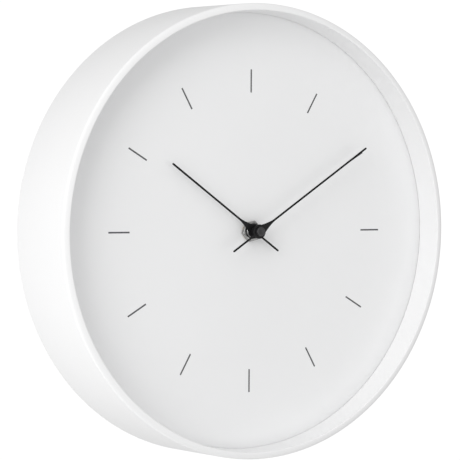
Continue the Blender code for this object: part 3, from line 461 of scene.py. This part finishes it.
def lined(name, color, roughness, line_size, depth, metallic=1.0, kind="RINGS", direction="Y", tone=0.10):
    """A turned, wound or rolled surface: fine lines round an axis or across it, broken up by noise.

    The lines lie pi line sizes apart, and depth is their height.
    """
    material, tree, shader = new_look(name)
    place = node(tree, "ShaderNodeTexCoord").outputs["Object"]
    settings = {
        "Vector": place,
        "Scale": WAVE_SCALE / line_size,
        "Distortion": 0.4,
        "Detail": 1.0,
        "Detail Scale": 2.0,
    }
    axis = {"rings_direction": direction} if kind == "RINGS" else {"bands_direction": direction}
    lines = node(tree, "ShaderNodeTexWave", settings, wave_type=kind, **axis).outputs["Fac"]
    cloud = spread(tree, noise(tree, place, 400.0, 4.0), 0.0, 1.0)
    tint(tree, shader, cloud, color, tone)
    vary_gloss(tree, shader, cloud, roughness - GLOSS_SPREAD, roughness + LINED_GLOSS_RISE)
    emboss(tree, shader, lines, depth)
    shader.inputs["Metallic"].default_value = metallic
    return material


def circuit_look(name, color, roughness, depth):
    """Green solder mask over slightly raised tracks."""
    material, tree, shader = new_look(name)
    place = node(tree, "ShaderNodeTexCoord").outputs["Object"]
    level = node(tree, "ShaderNodeMapping", {"Vector": place, "Rotation": (math.pi / 2, 0.0, 0.0)})
    settings = {
        "Vector": level.outputs["Vector"],
        "Scale": 500.0,
        "Mortar Size": 0.09,
        "Mortar Smooth": 0.3,
        "Brick Width": 0.9,
        "Row Height": 0.6,
    }
    tracks = node(tree, "ShaderNodeTexBrick", settings).outputs["Fac"]
    mixed = blend_colors(tree, tracks, color, scaled(color, TRACK_LIGHTNESS))
    tree.links.new(mixed, shader.inputs["Base Color"])
    fine = noise(tree, place, 3000.0)
    vary_gloss(tree, shader, fine, roughness - BOARD_GLOSS_SPREAD, roughness + BOARD_GLOSS_SPREAD)
    emboss(tree, shader, tracks, depth)
    return material


def wrap_look(name, color, roughness, depth):
    """Printed shrink wrap: a pale band near the positive end, fine ripples and a smooth film."""
    material, tree, shader = new_look(name)
    low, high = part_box("battery")
    place = node(tree, "ShaderNodeTexCoord").outputs["Object"]
    along = node(tree, "ShaderNodeSeparateXYZ", {"Vector": place}).outputs["X"]
    settings = {"Value": along, "From Min": low.x, "From Max": high.x}
    share = node(tree, "ShaderNodeMapRange", settings).outputs["Result"]
    bands = node(tree, "ShaderNodeValToRGB", {"Fac": share})
    ramp = bands.color_ramp
    ramp.interpolation = "CONSTANT"
    ramp.elements[0].color = (*color, 1.0)
    ramp.elements[1].position = WRAP_BAND_START
    ramp.elements[1].color = (*WRAP_BAND_COLOR, 1.0)
    ramp.elements.new(WRAP_BAND_END).color = (*scaled(color, WRAP_END_LIGHTNESS), 1.0)
    cloud = spread(tree, noise(tree, place, 220.0, 3.0), 0.0, 1.0)
    print_tone = node(tree, "ShaderNodeMix", {"Factor": cloud}, data_type="RGBA", blend_type="MULTIPLY")
    tree.links.new(bands.outputs["Color"], print_tone.inputs[MIX_LOW])
    print_tone.inputs[MIX_HIGH].default_value = (*WRAP_SHADE, 1.0)
    tree.links.new(print_tone.outputs[MIX_RESULT], shader.inputs["Base Color"])
    vary_gloss(tree, shader, cloud, roughness - GLOSS_SPREAD, roughness + LINED_GLOSS_RISE)
    emboss(tree, shader, cloud, depth)
    return material


def make_looks():
    """One finished material for each slot of the record, by the slot's name, and the printed ink."""
    return {
        "case_white": moulded(
            "case_look",
            (0.86, 0.86, 0.862),
            roughness=0.46, tone=0.006, tone_scale=14.0, grain=2600.0, depth=0.000006,
        ),
        "dial_white": moulded(
            "dial_look",
            (0.84, 0.842, 0.846),
            roughness=0.62, tone=0.006, tone_scale=20.0, grain=5200.0, depth=0.000005,
        ),
        "ink": moulded(
            "ink_look",
            (0.085, 0.085, 0.09),
            roughness=0.55, tone=0.18, tone_scale=1800.0, grain=6000.0, depth=0.000004,
        ),
        "back_white": moulded(
            "back_look",
            (0.78, 0.78, 0.772),
            roughness=0.55, tone=0.015, tone_scale=18.0, grain=1300.0, depth=0.00002,
        ),
        "hand_black": moulded(
            "hand_look",
            (0.007, 0.007, 0.0074),
            roughness=0.48, tone=0.12, tone_scale=150.0, grain=3000.0, depth=0.000006, specular=0.2,
        ),
        "cap_black": lined(
            "cap_look",
            (0.030, 0.030, 0.031),
            roughness=0.38, line_size=0.00018, depth=0.000006, metallic=0.25,
        ),
        "movement_black": moulded(
            "movement_look",
            (0.014, 0.014, 0.0147),
            roughness=0.54, tone=0.10, tone_scale=90.0, grain=1800.0, depth=0.00003, specular=0.3,
        ),
        "gear_white": moulded(
            "gear_white_look",
            (0.80, 0.80, 0.76),
            roughness=0.42, tone=0.03, tone_scale=160.0, grain=2500.0, depth=0.000008,
        ),
        "gear_ivory": moulded(
            "gear_ivory_look",
            (0.72, 0.66, 0.48),
            roughness=0.42, tone=0.04, tone_scale=160.0, grain=2500.0, depth=0.000008,
        ),
        "gear_grey": moulded(
            "gear_grey_look",
            (0.30, 0.31, 0.33),
            roughness=0.45, tone=0.05, tone_scale=160.0, grain=1900.0, depth=0.00002,
        ),
        "rubber_black": moulded(
            "rubber_look",
            (0.018, 0.018, 0.018),
            roughness=0.82, tone=0.15, tone_scale=300.0, grain=2200.0, depth=0.00003,
        ),
        "brass": lined(
            "brass_look",
            (0.78, 0.60, 0.30),
            roughness=0.28, line_size=0.00016, depth=0.000006,
        ),
        "nickel": lined(
            "nickel_look",
            (0.36, 0.36, 0.355),
            roughness=0.32, line_size=0.00020, depth=0.000006,
        ),
        "screw_zinc": lined(
            "zinc_look",
            (0.62, 0.63, 0.64),
            roughness=0.34, line_size=0.00015, depth=0.000008,
        ),
        "stator_steel": lined(
            "stator_look",
            (0.42, 0.43, 0.45),
            roughness=0.38, line_size=0.00030, depth=0.000008, kind="BANDS", direction="X",
        ),
        "magnet_grey": moulded(
            "magnet_look",
            (0.10, 0.10, 0.11),
            roughness=0.45, tone=0.20, tone_scale=900.0, grain=3500.0, depth=0.00002, metallic=0.6,
        ),
        "copper": lined(
            "copper_look",
            (0.72, 0.32, 0.16),
            roughness=0.32, line_size=0.00022, depth=0.00006, kind="BANDS", direction="X",
        ),
        "board_green": circuit_look(
            "board_look",
            (0.045, 0.17, 0.08),
            roughness=0.42, depth=0.00003,
        ),
        "chip_black": moulded(
            "chip_look",
            (0.018, 0.018, 0.019),
            roughness=0.30, tone=0.15, tone_scale=500.0, grain=900.0, depth=0.00003,
        ),
        "battery_wrap": wrap_look(
            "wrap_look",
            (0.055, 0.14, 0.30),
            roughness=0.32, depth=0.00004,
        ),
    }


def look_of_slots(looks):
    """Gives every CAD node that stays in sight the finished material of its own slot."""
    for entry in frame["record"]["subparts"]:
        cad_object = frame["nodes"][entry["node"]]
        cad_object.data.materials.clear()
        cad_object.data.materials.append(looks[entry["material_slot"]])


# ---------------------------------------------------------------- case and dial


def case_profile():
    """The drum's wall: rear rim, tapered outside, crowned lip, well wall, ledge and inside."""
    quarter = math.pi / 2
    rim_centre = (CASE_RADIUS - REAR_EDGE_ROUND, -REAR_EDGE_ROUND)
    crown = [
        (
            FRONT_WALL_RADIUS - LIP_CROWN_WIDTH + LIP_CROWN_WIDTH * along,
            CASE_FRONT_Y + LIP_CROWN_DEPTH + LIP_CROWN_DEPTH * across,
        )
        for along, across in arc((0.0, 0.0), 1.0, 0.0, -quarter, steps=24)
    ]
    inner_centre = (WELL_RADIUS + LIP_INNER_ROUND, CASE_FRONT_Y + LIP_INNER_ROUND)
    ledge_y = DIAL_FRONT_Y - LEDGE_GAP
    return (
        arc(rim_centre, REAR_EDGE_ROUND, quarter, 0.0, steps=4)
        + crown
        + arc(inner_centre, LIP_INNER_ROUND, -quarter, -2 * quarter, steps=8)[1:]
        + [(WELL_RADIUS, ledge_y), (LEDGE_RADIUS, ledge_y), (REAR_INNER_RADIUS, 0.0)]
    )


def boss_profile():
    bore_end_y = BOSS_BACK_Y - BOSS_BORE_DEPTH
    return [
        (0.0, BOSS_FRONT_Y),
        (BOSS_RADIUS - BOSS_EDGE, BOSS_FRONT_Y),
        (BOSS_RADIUS, BOSS_FRONT_Y + BOSS_EDGE),
        (BOSS_RADIUS, BOSS_BACK_Y),
        (BOSS_BORE, BOSS_BACK_Y),
        (BOSS_BORE, bore_end_y),
        (0.0, bore_end_y),
    ]


def build_case(looks):
    bm = add_turned(bmesh.new(), case_profile(), CASE_SEGMENTS)
    for k in range(BOSS_COUNT):
        angle = (k + 0.5) * math.tau / BOSS_COUNT
        centre = (BOSS_RADIAL * math.cos(angle), BOSS_RADIAL * math.sin(angle))
        add_turned(bm, boss_profile(), 32, looped=False, centre=centre)
    finished(plain_object("case_drum", bm), "case", "case_white", looks, ["case_shell"])


def build_hour_marks(looks):
    back_y = DIAL_FRONT_Y - MARK_GAP
    levels = (back_y - MARK_THICKNESS, back_y)
    bar = rounded_rectangle(-MARK_WIDTH / 2, MARK_WIDTH / 2, MARK_INNER, MARK_OUTER, MARK_CORNER)
    for k in range(MARK_COUNT):
        outline = turned_clockwise(bar, k * math.tau / MARK_COUNT)
        mark = plain_object(f"hour_mark_{k or MARK_COUNT:02d}", add_prism(bmesh.new(), outline, levels))
        finished(mark, "case", "dial_white", {"dial_white": looks["ink"]})


def chamfer_profile(corner_radius, front_y):
    """A triangle that is turned into the ring which the chamfer removes at the nut's front.

    Its cone meets the front face NUT_CHAMFER_INSET inside the corners. The triangle starts in front of the
    nut and ends outside the corners, so that no face of the two touches.
    """
    wide = corner_radius + NUT_CHAMFER_INSET
    narrow = corner_radius - NUT_CHAMFER_INSET - NUT_CHAMFER / NUT_CHAMFER_SLOPE
    outside_y = front_y - NUT_CHAMFER
    inside_y = outside_y + NUT_CHAMFER_SLOPE * (wide - narrow)
    return [(narrow, outside_y), (wide, outside_y), (wide, inside_y)]


def build_washer(looks):
    """The dial's washer, with its front edges and its back rim broken."""
    low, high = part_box("brass_washer")
    outer = (high.x - low.x) / 2
    edge = WASHER_EDGE
    profile = [
        (WASHER_BORE, high.y),
        (outer - edge, high.y),
        (outer, high.y - edge),
        (outer, low.y + edge),
        (outer - edge, low.y),
        (WASHER_BORE + edge, low.y),
        (WASHER_BORE, low.y + edge),
    ]
    washer = plain_object("dial_washer", add_turned(bmesh.new(), profile))
    finished(washer, "case", "brass", looks, ["brass_washer"])


def build_nut(looks):
    """The hexagon nut on the threaded bush, chamfered at its front corners and at its bore."""
    low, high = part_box("hex_nut")
    across_corners = (high.x - low.x) / math.cos(NUT_TURN)
    corner_radius = across_corners / 2
    hexagon = turned_clockwise(circle(corner_radius, 6), -NUT_TURN)
    nut = plain_object("dial_nut", add_prism(bmesh.new(), hexagon, (low.y, high.y)))
    carve(nut, plain_object("nut_chamfer", add_turned(bmesh.new(), chamfer_profile(corner_radius, low.y))))
    bore = [
        (0.0, low.y - NUT_CHAMFER),
        (NUT_BORE + NUT_CHAMFER, low.y - NUT_CHAMFER),
        (NUT_BORE, low.y + NUT_CHAMFER / 2),
        (NUT_BORE, high.y + NUT_CHAMFER),
        (0.0, high.y + NUT_CHAMFER),
    ]
    carve(nut, plain_object("nut_bore", add_turned(bmesh.new(), bore, 64, looped=False)))
    round_edges(nut, NUT_EDGE)
    finished(nut, "case", "nickel", looks, ["hex_nut"])


def build_bush(looks):
    """The bush's smooth core: chamfered front end, shoulder on the housing and shank in its wall."""
    low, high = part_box("threaded_bush")
    shoulder_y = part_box("movement_housing")[0].y - BUSH_GAP
    profile = [
        (BUSH_BORE + BUSH_EDGE, low.y),
        (THREAD_ROOT - BUSH_EDGE, low.y),
        (THREAD_ROOT, low.y + BUSH_EDGE),
        (THREAD_ROOT, shoulder_y),
        (BUSH_SHANK_RADIUS, shoulder_y),
        (BUSH_SHANK_RADIUS, high.y),
        (BUSH_BORE, high.y),
        (BUSH_BORE, low.y + BUSH_EDGE),
    ]
    bush = plain_object("bush_core", add_turned(bmesh.new(), profile))
    finished(bush, "case", "nickel", looks, ["threaded_bush"])


def build_thread(looks):
    """The helical ridge on the bush, where it passes the washer and the nut, fading out at both ends."""
    front_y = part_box("threaded_bush")[0].y + THREAD_PITCH / 2
    back_y = DIAL_FRONT_Y
    turns = (back_y - front_y) / THREAD_PITCH
    steps = int(turns * THREAD_TURN_STEPS)
    bm = bmesh.new()
    sections = []
    for k in range(steps + 1):
        angle = k * math.tau / THREAD_TURN_STEPS
        y = front_y + k * THREAD_PITCH / THREAD_TURN_STEPS
        rise = min(1.0, k / THREAD_RUN_OUT, (steps - k) / THREAD_RUN_OUT)
        crest = THREAD_ROOT + (THREAD_CREST - THREAD_ROOT) * rise
        shape = [
            (THREAD_ROOT, -THREAD_ROOT_SHARE),
            (crest, -THREAD_CREST_SHARE),
            (crest, THREAD_CREST_SHARE),
            (THREAD_ROOT, THREAD_ROOT_SHARE),
        ]
        sections.append(
            [
                bm.verts.new((r * math.cos(angle), y + share * THREAD_PITCH, r * math.sin(angle)))
                for r, share in shape
            ]
        )
    for near, far in zip(sections, sections[1:]):
        for a in range(len(near)):
            b = (a + 1) % len(near)
            bm.faces.new((near[a], near[b], far[b], far[a]))
    bm.faces.new(sections[0])
    bm.faces.new(reversed(sections[-1]))
    finished(plain_object("bush_thread", bm), "case", "nickel", looks, sharp=50)


# ---------------------------------------------------------------- hands


def build_hand(cad_node, looks, body, length, tail_length, turn, collar_radius, bore):
    """A stamped hand with softened front edges and a short collar behind its hub."""
    low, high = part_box(cad_node)
    blade_back_y = low.y + HAND_THICKNESS
    outline = turned_clockwise(hand_outline(length, tail_length), turn)
    blade = add_prism(bmesh.new(), outline, (low.y, blade_back_y), HAND_BEVEL)
    hand = plain_object(f"{cad_node}_blade", blade)
    collar = rod_profile(collar_radius, blade_back_y - HAND_THICKNESS / 2, high.y)
    carve(hand, plain_object("collar", add_turned(bmesh.new(), collar, 64, looped=False)), "UNION")
    hole = rod_profile(bore, low.y - HAND_THICKNESS, high.y + HAND_THICKNESS)
    carve(hand, plain_object("hole", add_turned(bmesh.new(), hole, 64, looped=False)))
    finished(hand, body, "hand_black", looks, [cad_node])


def build_cap(looks):
    """The round cap that holds the minute hand, with a shallow dimple in its face."""
    low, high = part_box("hand_nut")
    radius = (high.x - low.x) / 2
    pipe_front_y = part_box("minute_pipe")[0].y
    quarter = math.pi / 2
    profile = [(0.0, pipe_front_y), (MINUTE_BORE, pipe_front_y), (MINUTE_BORE, high.y)]
    back_centre = (radius - CAP_BACK_EDGE, high.y - CAP_BACK_EDGE)
    profile += arc(back_centre, CAP_BACK_EDGE, quarter, 0.0, steps=3)
    profile += arc((radius - CAP_EDGE, low.y + CAP_EDGE), CAP_EDGE, 0.0, -quarter, steps=8)
    profile += [
        (CAP_DIMPLE_RADIUS, low.y),
        (CAP_DIMPLE_RADIUS * CAP_DIMPLE_WALL, low.y + CAP_DIMPLE_DEPTH * CAP_DIMPLE_WALL),
        (CAP_DIMPLE_RADIUS * CAP_DIMPLE_FLOOR, low.y + CAP_DIMPLE_DEPTH),
        (0.0, low.y + CAP_DIMPLE_DEPTH),
    ]
    cap = plain_object("centre_cap", add_turned(bmesh.new(), profile, looped=False))
    finished(cap, "minute_group", "cap_black", looks, ["hand_nut"])


# ---------------------------------------------------------------- back


def build_cover_screw(number, looks):
    """A pan-head screw with a domed head, a cross recess and a pointed shank."""
    cad_node = f"cover_screw_{number}"
    low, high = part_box(cad_node)
    radius = (high.x - low.x) / 2
    seat_y = high.y - SCREW_HEAD_HEIGHT
    point_y = low.y
    quarter = math.pi / 2
    round_y = high.y - SCREW_HEAD_ROUND
    profile = [
        (0.0, point_y),
        (SCREW_SHANK_RADIUS, point_y + 2 * SCREW_SHANK_RADIUS),
        (SCREW_SHANK_RADIUS, seat_y),
        (radius, seat_y),
        (radius, round_y),
    ]
    profile += arc((radius - SCREW_HEAD_ROUND, round_y), SCREW_HEAD_ROUND, 0.0, quarter, steps=6)[1:]
    profile.append((0.0, high.y))
    screw = plain_object(f"rear_screw_{number}", add_turned(bmesh.new(), profile, 48, looped=False))
    arm = SCREW_RECESS_ARM * radius
    half = SCREW_RECESS_HALF_WIDTH * radius
    bar = rounded_rectangle(-half, half, -arm, arm, SCREW_RECESS_CORNER * half)
    levels = (high.y - SCREW_RECESS_DEPTH, high.y + SCREW_HEAD_HEIGHT)
    for turn in (0.0, quarter):
        recess = add_prism(bmesh.new(), turned_clockwise(bar, turn), levels)
        carve(screw, plain_object("recess", recess))
    finished(screw, "case", "screw_zinc", looks, [cad_node], middle(cad_node))


def build_knob(looks):
    """The setting knob with rounded finger flutes."""
    low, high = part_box("setting_knob")
    radius = (high.x - low.x) / 2
    steps = KNOB_FLUTES * KNOB_FLUTE_STEPS
    outline = []
    for k in range(steps):
        turn = k * math.tau / steps
        depth = KNOB_FLUTE_DEPTH * (0.5 - 0.5 * math.cos(KNOB_FLUTES * turn))
        reach = radius - depth
        outline.append((reach * math.cos(turn), reach * math.sin(turn)))
    bm = add_prism(bmesh.new(), outline, (high.y, low.y), KNOB_EDGE)
    knob = plain_object("setting_knob_grip", bm)
    hole = rod_profile(KNOB_BORE, low.y - KNOB_EDGE, high.y + KNOB_EDGE)
    carve(knob, plain_object("knob_hole", add_turned(bmesh.new(), hole, 48, looped=False)))
    finished(knob, "setting_group", "gear_grey", looks, ["setting_knob"], middle("setting_knob"))


def cell_profile(low_end, high_end, radius):
    """The cell's profile and the material of each band: metal base, shrink wrap, metal cap with its nub."""
    quarter = math.pi / 2
    shoulder = high_end - CELL_NUB_LENGTH
    fold = radius - CELL_EDGE - CELL_FOLD
    nub_round = CELL_EDGE / 2
    base = [(0.0, low_end + CELL_STEP), (fold, low_end + CELL_STEP)]
    wrap = [(fold, low_end)]
    wrap += arc((radius - CELL_EDGE, low_end + CELL_EDGE), CELL_EDGE, -quarter, 0.0, steps=6)
    wrap += arc((radius - CELL_EDGE, shoulder - CELL_EDGE), CELL_EDGE, 0.0, quarter, steps=6)
    wrap += [(fold, shoulder), (fold, shoulder - CELL_STEP)]
    cap = [(CELL_NUB_RADIUS, shoulder - CELL_STEP)]
    cap += arc((CELL_NUB_RADIUS - nub_round, high_end - nub_round), nub_round, 0.0, quarter, steps=4)
    cap.append((0.0, high_end))
    bands = [METAL_MATERIAL] * len(base)
    bands += [WRAP_MATERIAL] * (len(wrap) - 1)
    bands += [METAL_MATERIAL] * len(cap)
    return base + wrap + cap, bands


def build_battery(looks):
    """A round cell that lies along X, in a shrink wrap that folds over both metal ends."""
    low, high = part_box("battery")
    profile, bands = cell_profile(low.x, high.x, (high.z - low.z) / 2)
    bm = add_turned(bmesh.new(), profile, 96, looped=False, bands=bands)
    lying = Matrix.Rotation(-math.pi / 2, 3, "Z")
    bmesh.ops.rotate(bm, verts=bm.verts, cent=(0.0, 0.0, 0.0), matrix=lying)
    bmesh.ops.translate(bm, verts=bm.verts, vec=(0.0, (low.y + high.y) / 2, 0.0))
    cell = plain_object("battery_cell", bm)
    centre = (0.0, (low.z + high.z) / 2)
    finished(cell, "case", "battery_wrap", looks, ["battery"], centre, extra_looks=["nickel"])


# ---------------------------------------------------------------- camera, light and floor


def direction(azimuth, elevation):
    """Unit vector from the clock towards the viewer. Azimuth 0 is straight in front, 90 to the right."""
    return Vector(
        (
            math.sin(azimuth) * math.cos(elevation),
            -math.cos(azimuth) * math.cos(elevation),
            math.sin(elevation),
        )
    )


def build_camera():
    data = bpy.data.cameras.new("camera")
    data.lens = CAMERA_LENS
    data.sensor_width = CAMERA_SENSOR
    camera = bpy.data.objects.new("camera", data)
    back = direction(CAMERA_AZIMUTH, CAMERA_ELEVATION)
    level = (-back).to_track_quat("-Z", "Y").to_matrix().to_4x4()
    place = Matrix.Translation(CAMERA_TARGET + CAMERA_DISTANCE * back)
    camera.matrix_world = place @ level @ Matrix.Rotation(CAMERA_ROLL, 4, "Z")
    bpy.context.scene.collection.objects.link(camera)
    bpy.context.scene.camera = camera


def build_softbox(name, azimuth, elevation, power):
    """A round soft lamp aimed at the clock, from the given direction in degrees."""
    data = bpy.data.lights.new(name, "AREA")
    data.shape = "DISK"
    data.size = SOFTBOX_SIZE
    data.energy = power
    lamp = bpy.data.objects.new(name, data)
    towards = direction(math.radians(azimuth), math.radians(elevation))
    lamp.location = Vector((AXIS[0], CASE_FRONT_Y, AXIS[1])) + SOFTBOX_DISTANCE * towards
    lamp.rotation_euler = (-towards).to_track_quat("-Z", "Y").to_euler()
    bpy.context.scene.collection.objects.link(lamp)


def build_world():
    """Even light from all sides. Seen directly it is a white backdrop, brighter than its own light."""
    world = bpy.data.worlds.new("studio")
    world.use_nodes = True
    tree = world.node_tree
    ambient = tree.nodes["Background"]
    ambient.inputs["Color"].default_value = (1.0, 1.0, 1.0, 1.0)
    ambient.inputs["Strength"].default_value = AMBIENT_STRENGTH
    backdrop = node(
        tree, "ShaderNodeBackground", {"Color": (1.0, 1.0, 1.0, 1.0), "Strength": BACKDROP_STRENGTH}
    )
    seen = node(tree, "ShaderNodeLightPath").outputs["Is Camera Ray"]
    mixed = node(tree, "ShaderNodeMixShader", {"Fac": seen})
    tree.links.new(ambient.outputs["Background"], mixed.inputs[1])
    tree.links.new(backdrop.outputs["Background"], mixed.inputs[2])
    tree.links.new(mixed.outputs["Shader"], tree.nodes["World Output"].inputs["Surface"])
    bpy.context.scene.world = world


def build_surroundings():
    build_world()
    for name, (azimuth, elevation, power) in SOFTBOXES.items():
        build_softbox(name, azimuth, elevation, power)
    bpy.context.scene.view_settings.view_transform = "Standard"

    bm = bmesh.new()
    half = FLOOR_SIZE / 2
    corners = [(-half, -half), (half, -half), (half, half), (-half, half)]
    bm.faces.new([bm.verts.new((x, y, FLOOR_Z)) for x, y in corners])
    floor = plain_object("floor", bm)
    look = moulded(
        "floor_look",
        (0.86, 0.86, 0.86),
        roughness=0.8, tone=0.01, tone_scale=2.0, grain=300.0, depth=0.0001,
    )
    floor.data.materials.append(look)


def main():
    looks = make_looks()
    look_of_slots(looks)
    build_case(looks)
    build_hour_marks(looks)
    build_washer(looks)
    build_nut(looks)
    build_bush(looks)
    build_thread(looks)
    for cad_node, hand in HANDS.items():
        build_hand(cad_node, looks, **hand)
    build_cap(looks)
    for number in range(1, BOSS_COUNT + 1):
        build_cover_screw(number, looks)
    build_knob(looks)
    build_battery(looks)
    build_camera()
    build_surroundings()


main()
